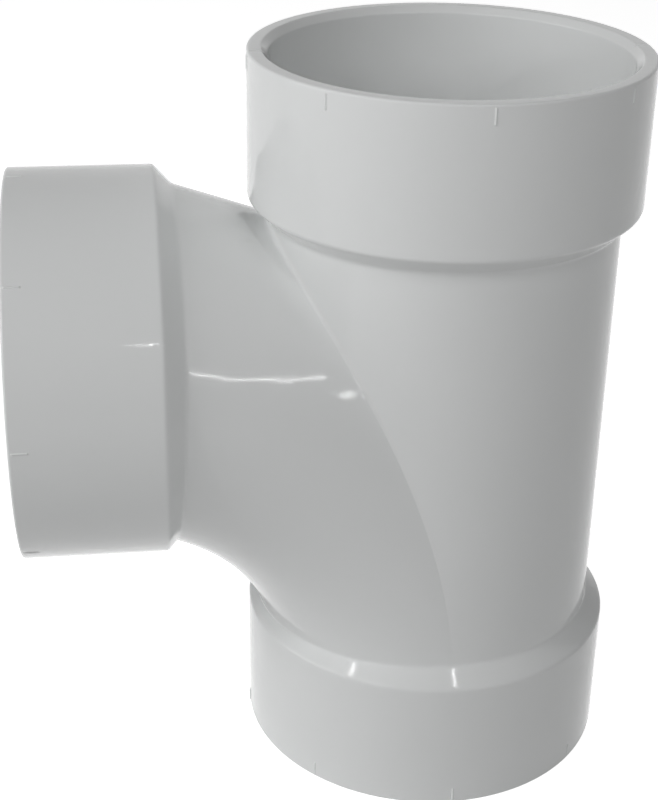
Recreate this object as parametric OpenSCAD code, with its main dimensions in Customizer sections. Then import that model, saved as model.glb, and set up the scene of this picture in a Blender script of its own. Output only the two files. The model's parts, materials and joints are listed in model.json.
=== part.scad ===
// Sanitary tee: a straight run with three pipe sockets, whose branch sweeps down into the run.
// The run axis is Z, the branch points along -X, and the outlet's rim lies on the plane z = 0.

/* [Sockets] */
// Outer diameter of the pipe that each socket takes
pipe_d = 114.3; // [110:0.1:122]
// Radial room between the pipe and the socket
pipe_clearance = 0.15; // [0.05:0.05:0.4]
// Depth of a socket, from its rim to its pipe stop
socket_depth = 44.5; // [32:0.5:60]
// Width of the 45 degree lead-in around a socket's mouth
mouth_chamfer = 2.2; // [1:0.1:3]

/* [Hubs] */
// Wall of a hub around its socket
hub_wall = 6.7; // [5:0.1:10]
// Length of full diameter that a hub keeps past its pipe stop
hub_overrun = 2.5; // [1:0.5:6]
// Length of the slope from a hub down to the body
shoulder_l = 5.8; // [3:0.1:12]
// Rounding of a rim's outer edge
rim_round = 0.8; // [0.4:0.1:1.5]

/* [Body] */
// Diameter of the waterway through the run and the branch
waterway_d = 102.3; // [96:0.1:106]
// Wall of the body around the waterway
body_wall = 6.55; // [4:0.05:8]
// Radius of the bend that the branch's axis follows into the run
sweep_r = 111; // [100:1:125]

/* [Laying lengths] */
// From the crossing of the axes up to the inlet's pipe stop
inlet_lay = 58; // [54:0.5:80]
// From the crossing of the axes down to the outlet's pipe stop
outlet_lay = 98.5; // [90:0.5:120]
// From the crossing of the axes out to the branch's pipe stop
branch_lay = 96; // [90:0.5:120]

/* [Alignment marks] */
// Number of raised marks around each hub
mark_count = 8; // [2:1:16]
// Width of a mark
mark_w = 0.9; // [0.6:0.1:1.6]
// Height of a mark above the hub
mark_h = 0.35; // [0.2:0.05:0.4]
// Length of a mark along the hub
mark_l = 5.1; // [2:0.1:12]
// Distance from the rim to the start of a mark
mark_start = 1; // [0.5:0.1:4]

/* [Hidden] */
$fn = 144;
socket_r = pipe_d / 2 + pipe_clearance;
hub_r = socket_r + hub_wall;
hub_l = socket_depth + hub_overrun;
waterway_r = waterway_d / 2;
body_r = waterway_r + body_wall;
// Heights of the axes' crossing and of the inlet's rim above the outlet's rim
crossing_z = outlet_lay + socket_depth;
inlet_z = crossing_z + inlet_lay + socket_depth;
// Distance of the branch's rim from the run axis
branch_x = branch_lay + socket_depth;
// A cut runs this far past the face that it opens
past = 1;
// The bend runs this far past a pipe stop, so that its end lies inside the socket
bend_overrun = 10;
// The bend keeps at least this angle off its tangent point on the run axis
least_trim = 1.5;
outlet_trim = max(least_trim, asin((sweep_r - outlet_lay - bend_overrun) / sweep_r));
branch_trim = max(0, asin((sweep_r - branch_lay - bend_overrun) / sweep_r));
// Straight length that a long branch adds after the bend
branch_straight = max(0, branch_lay + bend_overrun - sweep_r);

// Puts a hub that is drawn rim down at the origin at the outlet, the inlet and the branch
module at_outlet() children();
module at_inlet() translate([0, 0, inlet_z]) mirror([0, 0, 1]) children();
module at_branch() translate([-branch_x, 0, crossing_z]) rotate([0, 90, 0]) children();

// Outside of a hub: rounded rim, full diameter, then the slope down to the body
module hub_solid() {
  rotate_extrude() {
    square([hub_r - rim_round, hub_l]);
    translate([0, rim_round]) square([hub_r, hub_l - rim_round]);
    translate([hub_r - rim_round, rim_round]) circle(rim_round);
  }
  translate([0, 0, hub_l]) cylinder(h = shoulder_l, r1 = hub_r, r2 = body_r);
}

// Raised marks in line with a hub's axis, even steps apart, the first in the plane of the tee
module hub_marks() {
  mark_r = mark_w / 2;
  for (i = [0 : mark_count - 1])
    rotate([0, 0, i * 360 / mark_count])
      translate([hub_r + mark_h - mark_r, 0, mark_start]) cylinder(h = mark_l, r = mark_r);
}

// Inside of a socket: lead-in, then a straight wall down to the pipe stop
module socket_void() {
  mouth_r = socket_r + mouth_chamfer;
  rotate_extrude()
    polygon([
      [0, -past],
      [mouth_r + past, -past],
      [socket_r, mouth_chamfer],
      [socket_r, socket_depth],
      [0, socket_depth]
    ]);
}

// A round bar along the branch's axis: it leaves the run on the bend and ends in the branch's socket
module swept_bar(r) {
  translate([-sweep_r, 0, crossing_z - sweep_r]) rotate([90, 0, 0])
    rotate_extrude(start = outlet_trim, angle = 90 - outlet_trim - branch_trim)
      translate([sweep_r, 0]) circle(r);
  if (branch_straight > 0)
    translate([-sweep_r, 0, crossing_z]) rotate([0, -90, 0]) cylinder(h = branch_straight, r = r);
}

module tee_outside() {
  at_outlet() hub_solid();
  at_inlet() hub_solid();
  at_branch() hub_solid();
  translate([0, 0, socket_depth]) cylinder(h = outlet_lay + inlet_lay, r = body_r);
  swept_bar(body_r);
}

module tee_marks() {
  at_outlet() hub_marks();
  at_inlet() hub_marks();
  at_branch() hub_marks();
}

module tee_inside() {
  at_outlet() socket_void();
  at_inlet() socket_void();
  at_branch() socket_void();
  translate([0, 0, -past]) cylinder(h = inlet_z + 2 * past, r = waterway_r);
  swept_bar(waterway_r);
}

// The whole fitting, moulded in one piece
module tee_body() {
  color([0.86, 0.87, 0.87]) difference() {
    union() {
      tee_outside();
      tee_marks();
    }
    tee_inside();
  }
}

tee_body();
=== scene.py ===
import json
import math
import bpy
import bmesh
import numpy as np
from mathutils import Matrix, Vector


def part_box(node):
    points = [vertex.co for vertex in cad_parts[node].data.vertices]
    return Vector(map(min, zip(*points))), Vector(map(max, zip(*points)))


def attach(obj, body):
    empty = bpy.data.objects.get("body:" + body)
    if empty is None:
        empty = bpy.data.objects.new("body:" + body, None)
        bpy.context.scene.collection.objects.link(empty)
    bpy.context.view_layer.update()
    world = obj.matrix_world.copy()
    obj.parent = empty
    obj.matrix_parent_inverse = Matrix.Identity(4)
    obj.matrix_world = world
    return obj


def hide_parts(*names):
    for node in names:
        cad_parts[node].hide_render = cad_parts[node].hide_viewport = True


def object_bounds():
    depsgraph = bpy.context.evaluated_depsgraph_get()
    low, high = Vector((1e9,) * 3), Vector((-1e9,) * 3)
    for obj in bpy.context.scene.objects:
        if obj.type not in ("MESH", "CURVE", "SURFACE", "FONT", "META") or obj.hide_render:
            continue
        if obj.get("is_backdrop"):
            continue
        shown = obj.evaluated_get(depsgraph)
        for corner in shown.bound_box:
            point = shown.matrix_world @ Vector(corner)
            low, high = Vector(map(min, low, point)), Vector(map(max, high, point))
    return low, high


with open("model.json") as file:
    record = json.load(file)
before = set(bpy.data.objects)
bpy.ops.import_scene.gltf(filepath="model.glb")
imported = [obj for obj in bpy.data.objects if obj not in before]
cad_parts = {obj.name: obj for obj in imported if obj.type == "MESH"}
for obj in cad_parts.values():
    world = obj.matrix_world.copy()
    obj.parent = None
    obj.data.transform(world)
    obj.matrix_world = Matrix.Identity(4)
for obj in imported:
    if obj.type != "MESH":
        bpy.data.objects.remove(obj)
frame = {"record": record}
cad_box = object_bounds()

# The camera stands where the photograph was taken from: place, heading, tilt and lens
CAMERA_AT = (-0.1035, -0.4861, 0.3673)
CAMERA_YAW = 0.137
CAMERA_PITCH = -0.4593
CAMERA_ROLL = 0.0186
CAMERA_LENS = 71.98
SENSOR = 36.0

# Lengths of the fitting and of its mesh are in millimetres, and all others in metres
MM = 0.001
mounts = {mount["name"]: mount for mount in frame["record"]["mounts"]}
lowest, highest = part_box("tee_body")
SOCKET_R = mounts["outlet_socket"]["dims"]["r_mm"]
SOCKET_DEPTH = mounts["outlet_socket"]["pos_m"][2] / MM
CROSSING_Z = mounts["branch_socket"]["pos_m"][2] / MM
INLET_Z = highest[2] / MM
BRANCH_X = -lowest[0] / MM
HUB_WALL = 6.7
HUB_OVERRUN = 2.5
HUB_R = SOCKET_R + HUB_WALL
HUB_L = SOCKET_DEPTH + HUB_OVERRUN
SHOULDER_L = 5.8
RIM_ROUND = 0.8
MOUTH_CHAMFER = 2.2
WATERWAY_R = 51.15
BODY_WALL = 6.55
BODY_R = WATERWAY_R + BODY_WALL
SKIN_R = {"outer": BODY_R, "inner": WATERWAY_R}
SWEEP_R = 111.0
BEND_Z = CROSSING_Z - SWEEP_R
# The bend's outside ends in a straight top: its slope, its distance from the bend's centre, how fast
# it fades towards the tube's sides, and the most that it stands out of the bend
NECK_SLOPE = math.radians(18.7)
NECK_TOP = 167.3
NECK_SIDES = 1.5
NECK_MOST = 3.0

# The raised marks around each hub
MARK_COUNT = 8
MARK_W = 0.8
MARK_H = 0.34
MARK_START = 1.0
MARK_L = 5.1
MARK_END = 0.35
# Lines that the mould's parting leaves across the rims
RIM_LINE_W = 1.0
RIM_LINE_DEPTH = 0.2

# Blends, as the width over which two surfaces run into each other, and the share of the crease's
# blend that the waterway's edge has
CREASE_BLEND = 1.3
INNER_SHARE = 0.2
SHOULDER_BLEND = 0.6
CORNER_BLEND = 0.7
STOP_BLEND = 0.6

# Distances of the rows of vertices beside an edge, measured from the edge, and those beside a pipe stop
EDGE_STEPS = (0.2, 0.45, 0.75, 1.15, 1.7, 2.5, 3.6)
STOP_EDGE_STEPS = EDGE_STEPS[:5]
SIDE_COLUMNS = 52
CREASE_ROWS = 46
THROAT_COLUMNS = 34
BEND_ROWS = 34
# Where the crease's row ends, as an angle around the bend's tube, and the columns and rows above it
CREASE_TOP = 0.16
OVER_COLUMNS = 8
OVER_ROWS = 8
# Turns along the bend, in radians, between which its wall enters the run, the outlet's hub and the
# branch's hub: first one that is still clear of it, then one that is inside it
RUN_TURNS = (1.45, 0.02)
OUTLET_TURNS = (0.7, 0.0)
BRANCH_TURNS = (1.0, math.pi / 2)
# How often the stretch between such turns is halved
HALVINGS = 40
# How far the run's rows rise from the crease's upper end to the far side of the run, and how far it
# has to lie under the inlet's hub for rows of its own between them
TOP_RISE = 1.7
LEAST_RISE = 5.0
# Points of the fine curves that rows are spaced along
CURVE_POINTS = 2001
# Settling: its rounds, the step that it takes slopes over and the least slope that it counts with
SETTLE_ROUNDS = 6
SETTLE_STEP = 0.001
LEAST_SLOPE = 0.5
# Points that settling moves further than this are evened out afterwards, by this share, this many times
RELAX_FROM = 0.15
RELAX_SHARE = 0.6
RELAX_ROUNDS = 8
HUB_COLUMNS = 96
# Half the width of the strip of close columns across a mark, and the places of its columns
MARK_CLEAR = 0.75
MARK_COLUMNS = (-0.6, -0.46, -0.38, -0.27, -0.13, 0, 0.13, 0.27, 0.38, 0.46, 0.6)
# Rows of vertices on a shoulder, on the step to a pipe stop and around a rim's edge
SHOULDER_ROWS = 14
STOP_ROWS = 8
RIM_ROWS = 5
# Rows of a hub's outside, by their distance from the shoulder: close ones, and those of even columns
SHOULDER_STEPS = (*EDGE_STEPS, 7.0)
HUB_STEPS = (12.0, 20.0, 30.0, 38.5)
# Rows across a mark, by their distance from its far end and from its near end
MARK_FAR_STEPS = (0.6, 0, -0.1, -0.22, -0.35, -0.7)
MARK_NEAR_STEPS = (2.5, 0.7, 0.35, 0.22, 0.1, 0)
# Rows of the flat rim, as distances from its outer edge and from the mouth's edge
RIM_OUTER_STEP = 1.6
RIM_INNER_STEPS = (0.8, 0.25)
# Height of the mouth's broken edge, and rows down the mouth's chamfer by their distance from each end
MOUTH_EDGE = 0.05
CHAMFER_TOP_STEPS = (0.2, 0.45)
CHAMFER_END_STEPS = (0.05, 0.35, 1.0)
# Rows of a socket's wall, by their distance from the pipe stop and from the rim
STOP_STEP = 8.0
SOCKET_STEPS = (28, 20, 12, 6, 3.2, 2.5)

# Colours and gloss of the plastic: both ends of each range that its noise runs through
PVC_SHADE = (0.835, 0.85, 0.846, 1)
PVC_LIGHT = (0.86, 0.87, 0.868, 1)
PVC_ROUGHNESS = (0.06, 0.10)
PVC_SPECULAR = 0.2
# Height of the skin's slow waves, of its ripples and of its fine grain, in metres
WAVE_DEPTH = 0.00012
RIPPLE_DEPTH = 0.00005
PEEL_DEPTH = 0.000002
# Noise waves to the metre, in the colour, in the gloss, and in the three heights
CLOUD_SCALE = 22.0
GLOSS_SCALE = 130.0
WAVE_SCALE = 38.0
RIPPLE_SCALE = 190.0
PEEL_SCALE = 900.0
WHITE = (1, 1, 1, 1)
# The colour of the floor, and of the light that the surroundings cast
PALE = (0.8, 0.8, 0.8, 1)
# What the floor adds to its lit colour where it is seen, its size, and its gap under the fitting
FLOOR_GLOW = 0.89
FLOOR_SIZE = 8
FLOOR_GAP = 0.0001
# Strength of the light that the surroundings cast
WORLD_DIM = 0.05
# The place that the lamps face, and how far from it the soft ones stand
LIT_PLACE = Vector((-0.04, 0, 0.12))
LAMP_DISTANCE = 1.5


def smooth_max(a, b, blend):
    near = np.maximum(blend - np.abs(a - b), 0) / blend
    return np.maximum(a, b) + near * near * blend / 4


def smooth_min(a, b, blend):
    return -smooth_max(-a, -b, blend)


# A hub's own coordinates: s along its axis from the rim inwards, and two across it
def at_outlet(s, along, across):
    return np.stack(np.broadcast_arrays(along, -across, s), -1)


def at_inlet(s, along, across):
    return np.stack(np.broadcast_arrays(along, -across, INLET_Z - s), -1)


def at_branch(s, along, across):
    return np.stack(np.broadcast_arrays(s - BRANCH_X, -across, CROSSING_Z + along), -1)


def hub_views(p):
    """Each hub's (s, r) of the points, in the order outlet, inlet, branch"""
    run = np.hypot(p[:, 0], p[:, 1])
    branch = np.hypot(p[:, 1], p[:, 2] - CROSSING_Z)
    return (p[:, 2], run), (INLET_Z - p[:, 2], run), (p[:, 0] + BRANCH_X, branch)


def hub_outside(s, r):
    """Distance outside a hub's wall and its shoulder"""
    fall = HUB_R - BODY_R
    size = math.hypot(SHOULDER_L, fall)
    slope = (s - HUB_L) * fall / size + (r - HUB_R) * SHOULDER_L / size
    return smooth_max(r - HUB_R, slope, CORNER_BLEND)


def socket_inside(s, r):
    """Distance outside a socket's space"""
    return smooth_max(r - SOCKET_R, s - SOCKET_DEPTH, STOP_BLEND)


def bend_r(turn, cosine, skin):
    """Radius of the bend's tube at a turn along it, and at the cosine of an angle around it"""
    if skin == "inner":
        return WATERWAY_R + 0 * turn
    top = NECK_TOP / np.sin(np.maximum(turn + NECK_SLOPE, math.pi / 2)) - SWEEP_R - BODY_R
    return BODY_R + np.minimum(top, NECK_MOST) * np.maximum(cosine, 0) ** NECK_SIDES


def bend(p, skin):
    """Distance outside the tube that follows the branch's axis"""
    tube_r = SKIN_R[skin]
    across = np.hypot(p[:, 0] + SWEEP_R, p[:, 2] - BEND_Z)
    around = np.hypot(across - SWEEP_R, p[:, 1])
    turn = np.arctan2(p[:, 2] - BEND_Z, p[:, 0] + SWEEP_R)
    turned = around - bend_r(turn, (across - SWEEP_R) / np.maximum(around, 1e-6), skin)
    straight = np.hypot(p[:, 0], p[:, 1]) - tube_r
    level = np.hypot(p[:, 2] - CROSSING_Z, p[:, 1]) - tube_r
    return np.where(p[:, 2] < BEND_Z, straight, np.where(p[:, 0] < -SWEEP_R, level, turned))


def crease_blend(p):
    """Width of the blend between run and bend: wide where they meet at an angle, none where they touch"""
    run = np.maximum(np.hypot(p[:, 0], p[:, 1]), 1e-6)
    ring = np.maximum(np.hypot(p[:, 0] + SWEEP_R, p[:, 2] - BEND_Z), 1e-6)
    tube = np.maximum(np.hypot(ring - SWEEP_R, p[:, 1]), 1e-6)
    lean = (ring - SWEEP_R) / tube
    cosine = (p[:, 0] * lean * (p[:, 0] + SWEEP_R) / ring + p[:, 1] * p[:, 1] / tube) / run
    return np.maximum(CREASE_BLEND * (1 - cosine), 0.02)


def outside(p):
    """Distance outside the outer skin"""
    run = np.hypot(p[:, 0], p[:, 1]) - BODY_R
    tubes = smooth_min(run, bend(p, "outer"), crease_blend(p))
    for s, r in hub_views(p):
        tubes = smooth_min(tubes, hub_outside(s, r), SHOULDER_BLEND)
    return tubes


def inside(p):
    """Distance outside the space within the fitting"""
    run = np.hypot(p[:, 0], p[:, 1]) - WATERWAY_R
    tubes = smooth_min(run, bend(p, "inner"), INNER_SHARE * crease_blend(p))
    for s, r in hub_views(p):
        tubes = smooth_min(tubes, socket_inside(s, r), STOP_BLEND)
    return tubes


def settle(points, distance):
    """Moves points onto the surface where distance is nought"""
    for _ in range(SETTLE_ROUNDS):
        here = distance(points)
        slope = np.zeros_like(points)
        for axis in range(3):
            shift = np.zeros(3)
            shift[axis] = SETTLE_STEP
            slope[:, axis] = (distance(points + shift) - distance(points - shift)) / (2 * SETTLE_STEP)
        # A slope below the least one counts as that, so that no point is thrown far
        size = np.maximum((slope * slope).sum(1), LEAST_SLOPE ** 2)
        points = points - (here / size)[:, None] * slope
    return points


def neighbours(faces):
    """Both ways round, the pairs of points that share an edge"""
    pairs = {(a, b) for face in faces for a, b in zip(face, face[1:] + face[:1])}
    return np.array(sorted(pairs | {(b, a) for a, b in pairs}))


def relax(points, pairs, weight, seam):
    """Moves the points that carry weight towards the middle of their neighbours"""
    count = np.bincount(pairs[:, 0])
    total = [np.bincount(pairs[:, 0], points[pairs[:, 1], axis]) for axis in range(3)]
    relaxed = points + RELAX_SHARE * weight[:, None] * (np.stack(total, -1) / count[:, None] - points)
    relaxed[seam, 1] = 0
    return relaxed


def spaced(length, count, start=(), end=()):
    """Places from 0 to length: the given steps beside each end, and even ones between them"""
    head = [0.0, *start]
    tail = [length - x for x in (*reversed(end), 0.0)]
    middle = np.linspace(head[-1], tail[0], count + 1)[1:-1]
    return np.concatenate((head, middle, tail))


def eased(count):
    """Fractions from 0 to 1 that lie close together at both ends"""
    return (1 - np.cos(np.linspace(0, math.pi, count + 1))) / 2


class Net:
    """Vertices and faces of the half of the fitting with y up to 0"""

    def __init__(self):
        self.points = []
        self.skins = []
        self.faces = []

    def add(self, points, skin="as is"):
        start = len(self.points)
        self.points.extend(np.asarray(points, float).reshape(-1, 3))
        self.skins.extend([skin] * (len(self.points) - start))
        return list(range(start, len(self.points)))

    def bridge(self, one, two, one_keys=None, two_keys=None):
        """Faces between two rows of vertices. Rows of unequal length have keys that rise along them."""
        if one_keys is None:
            for i in range(len(one) - 1):
                self.faces.append((one[i], one[i + 1], two[i + 1], two[i]))
            return
        i = j = 0
        while i < len(one) - 1 or j < len(two) - 1:
            if j == len(two) - 1 or (i < len(one) - 1 and one_keys[i + 1] <= two_keys[j + 1]):
                self.faces.append((one[i], one[i + 1], two[j]))
                i += 1
            else:
                self.faces.append((one[i], two[j + 1], two[j]))
                j += 1


def bend_point(turn, around, skin):
    """A point on the bend: turn along it from the run, around its tube from the outer side"""
    tube_r = bend_r(turn, np.cos(around), skin)
    ring = SWEEP_R + tube_r * np.cos(around)
    x = ring * np.cos(turn) - SWEEP_R
    return np.stack((x, -tube_r * np.sin(around), BEND_Z + ring * np.sin(turn)), -1)


def turn_at(around, skin, distance, turns):
    """How far along the bend its surface enters a hub or the run, from a clear turn and one inside it"""
    clear, within = (np.full_like(around, turn) for turn in turns)
    for _ in range(HALVINGS):
        middle = (clear + within) / 2
        apart = distance(bend_point(middle, around, skin)) > 0
        clear = np.where(apart, middle, clear)
        within = np.where(apart, within, middle)
    return (clear + within) / 2


def along_curve(fine_keys, fine_points, count, start, end):
    """Keys of places spaced along a curve that is given by many points"""
    steps = np.linalg.norm(np.diff(fine_points, axis=0), axis=1)
    run = np.concatenate(([0.0], np.cumsum(steps)))
    return np.interp(spaced(run[-1], count, start, end), run, fine_keys)


def tube_walls(net, skin, hub, hub_s):
    """The run and the bend as far as the hubs: returns the rows where they enter outlet, inlet and branch"""
    tube_r = SKIN_R[skin]

    def in_run(p):
        return np.hypot(p[:, 0], p[:, 1]) - tube_r

    def crease(around):
        return bend_point(turn_at(around, skin, in_run, RUN_TURNS), around, skin)

    def in_outlet(p):
        return hub(p[:, 2], np.hypot(p[:, 0], p[:, 1]))

    def in_branch(p):
        return hub(p[:, 0] + BRANCH_X, np.hypot(p[:, 1], p[:, 2] - CROSSING_Z))

    # The angle around the bend's tube at which the crease comes out of the outlet's hub
    low_around = math.acos((hub_s - BEND_Z) ** 2 / (4 * SWEEP_R * tube_r))
    fine = np.linspace(low_around, CREASE_TOP, CURVE_POINTS)
    crease_around = along_curve(fine, crease(fine), CREASE_ROWS, EDGE_STEPS, ())
    crease_points = crease(crease_around)
    crease_row = net.add(crease_points, skin)

    # The run's wall, from the side away from the branch to the crease, row by row upwards
    inlet_z = INLET_Z - hub_s
    top_z = min(inlet_z, crease_points[-1, 2] + TOP_RISE)
    side_z = spaced(top_z - hub_s, CREASE_ROWS, EDGE_STEPS, ()) + hub_s
    rows = []
    for j, z_side in enumerate(side_z):
        reach = tube_r * (math.pi - crease_around[j])
        theta = spaced(reach, SIDE_COLUMNS, (), EDGE_STEPS)[:-1] / tube_r
        z = z_side + (crease_points[j, 2] - z_side) * (theta * tube_r / reach) ** 3
        wall = at_outlet(z, tube_r * np.cos(theta), tube_r * np.sin(theta))
        rows.append(net.add(wall, skin) + [crease_row[j]])
        if j:
            net.bridge(rows[-2], rows[-1])

    # Above the crease, the wall goes all round to the inlet's hub
    over_around = np.linspace(CREASE_TOP, 0, OVER_COLUMNS + 1)[1:]
    over_row = net.add(crease(over_around), skin)
    outlet_row, last = rows[0], rows[-1] + over_row
    under = np.array([net.points[i] for i in last])
    rise = inlet_z - under[:, 2]
    for share in eased(OVER_ROWS)[1:] if rise.min() > LEAST_RISE else ():
        wall = under + np.outer(rise * share, (0, 0, 1))
        row = net.add(wall, skin)
        net.bridge(last, row)
        last = row
    inlet_row = last

    # The throat, where the bend enters the outlet's hub
    fine = np.linspace(low_around, math.pi, CURVE_POINTS)
    throat = bend_point(turn_at(fine, skin, in_outlet, OUTLET_TURNS), fine, skin)
    throat_around = along_curve(fine, throat, THROAT_COLUMNS, EDGE_STEPS, ())[1:]
    throat_turn = turn_at(throat_around, skin, in_outlet, OUTLET_TURNS)
    throat_row = net.add(bend_point(throat_turn, throat_around, skin), skin)

    # The bend's wall, from the crease and the throat to the branch's hub
    crease_around = np.concatenate((over_around[::-1], crease_around[::-1]))
    start = crease(crease_around)
    around = np.concatenate((crease_around, throat_around))
    low = np.concatenate((np.arctan2(start[:, 2] - BEND_Z, start[:, 0] + SWEEP_R), throat_turn))
    high = turn_at(around, skin, in_branch, BRANCH_TURNS)
    across = SWEEP_R + tube_r * np.cos(around)
    steps = [spaced((b - a) * c, BEND_ROWS, EDGE_STEPS, EDGE_STEPS) / c for a, b, c in zip(low, high, across)]
    turns = low + np.array(steps).T
    last = over_row[::-1] + crease_row[::-1] + throat_row
    for turn in turns[1:]:
        row = net.add(bend_point(turn, around, skin), skin)
        net.bridge(last, row)
        last = row
    return outlet_row + throat_row, inlet_row, last


def hub_keys(net, row, place):
    """Each vertex of a row in its hub's own coordinates: s, r and the angle around the axis"""
    p = np.array([net.points[i] for i in row])
    s, r = hub_views(p)[(at_outlet, at_inlet, at_branch).index(place)]
    centre = place(0.0, 0.0, 0.0)
    first = place(0.0, 1.0, 0.0) - centre
    second = place(0.0, 0.0, 1.0) - centre
    return s, r, np.arctan2((p - centre) @ second, (p - centre) @ first)


def mark_angles():
    return [i * 2 * math.pi / MARK_COUNT for i in range(MARK_COUNT // 2 + 1)]


def mark_height(s, angle):
    """How far the hub's wall stands out in the raised marks"""
    aside = min(abs(angle - a) for a in mark_angles()) * HUB_R / (MARK_W / 2)
    ends = min(s - MARK_START, MARK_START + MARK_L - s) / MARK_END
    if aside >= 1 or ends <= 0:
        return 0.0
    return MARK_H * math.cos(aside * math.pi / 2) * math.sin(min(ends, 1) * math.pi / 2)


def rim_line(angle):
    """Depth of the parting lines, which cross a rim in the plane of the tee"""
    aside = np.minimum(angle, math.pi - angle) * HUB_R / (RIM_LINE_W / 2)
    return RIM_LINE_DEPTH * np.cos(np.minimum(aside, 1) * math.pi / 2)


def rim_columns():
    """Angles around a hub: even steps, and close ones across each mark"""
    plain = np.linspace(0, math.pi, HUB_COLUMNS + 1)
    clear = MARK_CLEAR / HUB_R
    close = [x / HUB_R for x in MARK_COLUMNS]
    keep = [a for a in plain if min(abs(a - m) for m in mark_angles()) > clear]
    marks = [m + c for m in mark_angles() for c in close]
    return plain, np.array(sorted(keep + [a for a in marks if -1e-9 <= a <= math.pi + 1e-9]))


def ring(net, place, angles, s, r, skin="as is"):
    return net.add(place(s, r * np.cos(angles), r * np.sin(angles)), skin)


def outer_hub(net, row, place):
    """A hub's outside, from the row where the tube enters it to the edge of its mouth"""
    s, r, angle = hub_keys(net, row, place)
    plain, fine = rim_columns()
    last = row
    for t in eased(SHOULDER_ROWS)[1:]:
        new = ring(net, place, angle, s + (HUB_L - s) * t, r + (HUB_R - r) * t, "outer")
        net.bridge(last, new)
        last = new
    for down in SHOULDER_STEPS:
        new = ring(net, place, angle, HUB_L - down, HUB_R, "outer")
        net.bridge(last, new)
        last = new
    new = ring(net, place, plain, HUB_L - HUB_STEPS[0], HUB_R)
    net.bridge(last, new, angle, plain)
    last = new
    for down in HUB_STEPS[1:]:
        new = ring(net, place, plain, HUB_L - down, HUB_R)
        net.bridge(last, new)
        last = new
    end = MARK_START + MARK_L
    mark_rows = [end + x for x in MARK_FAR_STEPS] + [MARK_START + x for x in MARK_NEAR_STEPS]
    keys = plain
    for depth in mark_rows:
        radius = HUB_R + np.array([mark_height(depth, a) for a in fine])
        new = ring(net, place, fine, depth, radius)
        net.bridge(last, new, keys, fine) if keys is plain else net.bridge(last, new)
        last, keys = new, fine
    for lean in np.linspace(0, math.pi / 2, RIM_ROWS + 1):
        depth = RIM_ROUND * (1 - math.sin(lean))
        new = ring(net, place, fine, depth, HUB_R - RIM_ROUND * (1 - math.cos(lean)))
        net.bridge(last, new)
        last = new
    mouth_r = SOCKET_R + MOUTH_CHAMFER
    flat = [(0.0, radius) for radius in (HUB_R - RIM_OUTER_STEP, *(mouth_r + x for x in RIM_INNER_STEPS))]
    for depth, radius in (*flat, (MOUTH_EDGE, mouth_r)):
        new = ring(net, place, fine, depth + rim_line(fine), radius)
        net.bridge(last, new)
        last = new
    for depth in CHAMFER_TOP_STEPS:
        new = ring(net, place, fine, depth, mouth_r - depth + rim_line(fine))
        net.bridge(last, new)
        last = new
    return last


def inner_hub(net, row, place, mouth):
    """A socket's wall, from the row where the tube enters it to the edge of its mouth"""
    s, r, angle = hub_keys(net, row, place)
    plain, fine = rim_columns()
    last = row
    for t in eased(STOP_ROWS)[1:]:
        new = ring(net, place, angle, s + (SOCKET_DEPTH - s) * t, r + (SOCKET_R - r) * t, "inner")
        net.bridge(last, new)
        last = new
    for down in STOP_EDGE_STEPS:
        new = ring(net, place, angle, SOCKET_DEPTH - down, SOCKET_R, "inner")
        net.bridge(last, new)
        last = new
    new = ring(net, place, plain, SOCKET_DEPTH - STOP_STEP, SOCKET_R)
    net.bridge(last, new, angle, plain)
    last = new
    lead = [(depth, SOCKET_R) for depth in SOCKET_STEPS]
    lead += [(MOUTH_CHAMFER - x, SOCKET_R + x) for x in CHAMFER_END_STEPS]
    for depth, radius in lead:
        new = ring(net, place, plain, depth, radius)
        net.bridge(last, new)
        last = new
    net.bridge(last, mouth, plain, fine)


def tee_net():
    """Points in millimetres and faces of the whole fitting"""
    net = Net()
    places = (at_outlet, at_inlet, at_branch)
    rows = tube_walls(net, "outer", hub_outside, HUB_L + SHOULDER_L)
    mouths = [outer_hub(net, row, place) for row, place in zip(rows, places)]
    rows = tube_walls(net, "inner", socket_inside, SOCKET_DEPTH)
    for row, place, mouth in zip(rows, places, mouths):
        inner_hub(net, row, place, mouth)
    points = np.array(net.points)
    skins = np.array(net.skins)
    seam = np.abs(points[:, 1]) < 1e-6
    pairs = neighbours(net.faces)
    for skin, distance in (("outer", outside), ("inner", inside)):
        mine = skins == skin
        settled = settle(points[mine], distance)
        moved = np.zeros(len(points))
        moved[mine] = np.linalg.norm(settled - points[mine], axis=1)
        points[mine] = settled
        for _ in range(RELAX_ROUNDS):
            points = relax(points, pairs, np.clip(moved / RELAX_FROM - 1, 0, 1), seam)
            points[mine] = settle(points[mine], distance)
    # The other half is the first one's mirror image, and they share the points on the plane between them
    points[seam, 1] = 0
    twin = np.where(seam, np.arange(len(points)), len(points) + np.cumsum(~seam) - 1)
    mirrored = points[~seam] * (1, -1, 1)
    faces = net.faces + [tuple(int(twin[i]) for i in reversed(f)) for f in net.faces]
    return np.concatenate((points, mirrored)), faces


def make_camera():
    cos_p, sin_p = math.cos(CAMERA_PITCH), math.sin(CAMERA_PITCH)
    forward = Vector((math.sin(CAMERA_YAW) * cos_p, math.cos(CAMERA_YAW) * cos_p, sin_p))
    level_right = forward.cross(Vector((0, 0, 1))).normalized()
    level_up = level_right.cross(forward)
    cos_r, sin_r = math.cos(CAMERA_ROLL), math.sin(CAMERA_ROLL)
    right = cos_r * level_right + sin_r * level_up
    up = cos_r * level_up - sin_r * level_right
    data = bpy.data.cameras.new("camera")
    data.sensor_width = SENSOR
    data.lens = CAMERA_LENS
    data.clip_start = 0.01
    data.clip_end = 50
    camera = bpy.data.objects.new("camera", data)
    turn = Matrix((right, up, -forward)).transposed()
    camera.matrix_world = Matrix.Translation(CAMERA_AT) @ turn.to_4x4()
    bpy.context.scene.collection.objects.link(camera)
    bpy.context.scene.camera = camera


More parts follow.
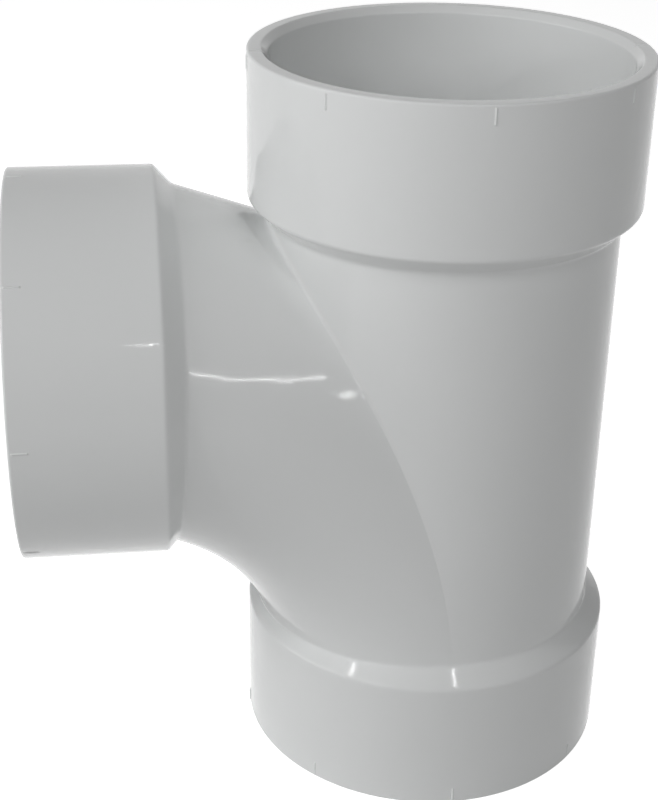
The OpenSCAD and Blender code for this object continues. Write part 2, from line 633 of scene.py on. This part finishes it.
def toward(azimuth, elevation):
    """The direction at an azimuth from +Y towards +X and an elevation, both in degrees"""
    level = math.cos(math.radians(elevation))
    return Vector((math.sin(math.radians(azimuth)) * level,
                   math.cos(math.radians(azimuth)) * level,
                   math.sin(math.radians(elevation))))


def area_light(name, azimuth, elevation, size, watts):
    """A square lamp that faces the fitting, placed by its direction in degrees"""
    side = toward(azimuth, elevation)
    data = bpy.data.lights.new(name, "AREA")
    data.shape = "SQUARE"
    data.size = size
    data.energy = watts
    lamp = bpy.data.objects.new(name, data)
    lamp.location = LIT_PLACE + side * LAMP_DISTANCE
    lamp.rotation_euler = (-side).to_track_quat("-Z", "Y").to_euler()
    bpy.context.scene.collection.objects.link(lamp)


def strip_light(name, start, end, width, watts):
    """A narrow lamp from one place to another that faces the fitting, whose skin shows it as a bright line"""
    start, end = Vector(start), Vector(end)
    away = ((start + end) / 2 - LIT_PLACE).normalized()
    along = end - start
    data = bpy.data.lights.new(name, "AREA")
    data.shape = "RECTANGLE"
    data.size = along.length
    data.size_y = width
    data.energy = watts
    lamp = bpy.data.objects.new(name, data)
    along = (along - along.dot(away) * away).normalized()
    turn = Matrix((along, away.cross(along), away)).transposed()
    lamp.matrix_world = Matrix.Translation((start + end) / 2) @ turn.to_4x4()
    bpy.context.scene.collection.objects.link(lamp)


class Nodes:
    """Adds nodes to a material or a world. An input's name is its socket's, or _ and its number."""

    def __init__(self, owner):
        owner.use_nodes = True
        self.tree = owner.node_tree
        self.tree.nodes.clear()

    def add(self, kind, settings=(), **inputs):
        node = self.tree.nodes.new(kind)
        for name, value in dict(settings).items():
            setattr(node, name, value)
        for name, value in inputs.items():
            numbered = name[0] == "_" and name[1:].isdigit()
            socket = node.inputs[int(name[1:]) if numbered else name.replace("_", " ")]
            if isinstance(value, bpy.types.NodeSocket):
                self.tree.links.new(value, socket)
            else:
                socket.default_value = value
        return node


def grain(nodes, place, scale, detail=2.0):
    """Smooth noise between 0 and 1 at a place, with this many waves to the metre"""
    return nodes.add("ShaderNodeTexNoise", Vector=place, Scale=scale, Detail=detail).outputs["Fac"]


def mapped(nodes, value, low, high):
    """The middle half of the noise stretched to low and high"""
    spread = nodes.add("ShaderNodeMapRange", Value=value, From_Min=0.25, From_Max=0.75,
                       To_Min=low, To_Max=high)
    return spread.outputs[0]


def bumped(nodes, height, depth, **under):
    """The skin's direction where it rises and falls by depth with the noise"""
    return nodes.add("ShaderNodeBump", Height=height, Strength=1.0, Distance=depth, **under).outputs[0]


def pvc_material():
    mat = bpy.data.materials.new("white_pvc")
    nodes = Nodes(mat)
    place = nodes.add("ShaderNodeTexCoord").outputs["Object"]
    cloud = grain(nodes, place, CLOUD_SCALE, 3.0)
    tint = nodes.add("ShaderNodeMix", {"data_type": "RGBA"}, _0=cloud, _6=PVC_SHADE, _7=PVC_LIGHT)
    rough = mapped(nodes, grain(nodes, place, GLOSS_SCALE, 4.0), *PVC_ROUGHNESS)
    wave = bumped(nodes, grain(nodes, place, WAVE_SCALE, 1.0), WAVE_DEPTH)
    ripple = bumped(nodes, grain(nodes, place, RIPPLE_SCALE, 1.0), RIPPLE_DEPTH, Normal=wave)
    peel = bumped(nodes, grain(nodes, place, PEEL_SCALE, 2.0), PEEL_DEPTH, Normal=ripple)
    shader = nodes.add("ShaderNodeBsdfPrincipled", Base_Color=tint.outputs[2], Roughness=rough,
                       Normal=peel, Specular_IOR_Level=PVC_SPECULAR)
    nodes.add("ShaderNodeOutputMaterial", Surface=shader.outputs[0])
    return mat


def make_tee():
    points, faces = tee_net()
    mesh = bpy.data.meshes.new("tee")
    mesh.from_pydata((points * MM).tolist(), [], faces)
    shape = bmesh.new()
    shape.from_mesh(mesh)
    bmesh.ops.recalc_face_normals(shape, faces=shape.faces)
    for face in shape.faces:
        face.smooth = True
    shape.to_mesh(mesh)
    shape.free()
    tee = bpy.data.objects.new("tee", mesh)
    bpy.context.scene.collection.objects.link(tee)
    mesh.materials.append(pvc_material())
    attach(tee, "root")
    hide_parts("tee_body")
    return tee


def seen(nodes):
    """1 for rays that show the surroundings themselves, 0 for those that light the object by them"""
    rays = nodes.add("ShaderNodeLightPath").outputs
    seen_or_mirrored = nodes.add("ShaderNodeMath", {"operation": "MAXIMUM"},
                                 _0=rays["Is Camera Ray"], _1=rays["Is Glossy Ray"]).outputs[0]
    return nodes.add("ShaderNodeMath", {"operation": "MAXIMUM"},
                     _0=seen_or_mirrored, _1=rays["Is Transmission Ray"]).outputs[0]


def make_floor():
    bpy.ops.mesh.primitive_plane_add(size=FLOOR_SIZE, location=(0, 0, -FLOOR_GAP))
    floor = bpy.context.object
    floor.name = "floor"
    mat = bpy.data.materials.new("floor")
    nodes = Nodes(mat)
    paper = nodes.add("ShaderNodeBsdfPrincipled", Base_Color=PALE, Roughness=0.9, Specular_IOR_Level=0.0)
    glow = nodes.add("ShaderNodeEmission", Color=WHITE, Strength=FLOOR_GLOW)
    both = nodes.add("ShaderNodeAddShader", _0=paper.outputs[0], _1=glow.outputs[0])
    mix = nodes.add("ShaderNodeMixShader", _0=seen(nodes), _1=paper.outputs[0], _2=both.outputs[0])
    nodes.add("ShaderNodeOutputMaterial", Surface=mix.outputs[0])
    floor.data.materials.append(mat)
    floor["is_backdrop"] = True


def make_world():
    world = bpy.data.worlds.new("world")
    nodes = Nodes(world)
    dim = nodes.add("ShaderNodeBackground", Color=PALE, Strength=WORLD_DIM)
    white = nodes.add("ShaderNodeBackground", Color=WHITE, Strength=1.0)
    mix = nodes.add("ShaderNodeMixShader", _0=seen(nodes), _1=dim.outputs[0], _2=white.outputs[0])
    nodes.add("ShaderNodeOutputWorld", Surface=mix.outputs[0])
    bpy.context.scene.world = world


def plain(box):
    return [[float(x) for x in corner] for corner in box]


bpy.context.scene.view_settings.view_transform = "Standard"
make_camera()
make_world()
make_floor()
# Soft lamps, by azimuth, elevation, width and power
area_light("key", 223, 36, 0.6, 3.5)
area_light("left", 270, 15, 0.7, 4.8)
area_light("left_front", 247, 30, 0.35, 2.0)
area_light("left_high", 270, 45, 0.9, 1.3)
# Narrow lamps whose bright lines the glossy skin shows, from one end to the other, then width and power
strip_light("neck_line", (0.08, -1.01, 0.39), (0.56, -0.69, 0.63), 0.005, 1.0)
strip_light("shoulder_line", (0.182, -0.708, 0.854), (0.141, -0.530, 0.977), 0.011, 0.6)
strip_light("shoulder_spot", (-0.707, -0.353, 0.779), (-0.552, -0.287, 0.920), 0.012, 0.6)
strip_light("crease_spot", (0.548, -0.781, 0.496), (0.638, -0.671, 0.548), 0.005, 0.2)
strip_light("hub_spot", (-0.085, -1.0, 0.755), (-0.070, -1.0, 0.765), 0.012, 0.1)
make_tee()
{"cad": plain(cad_box), "visual": plain(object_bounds())}
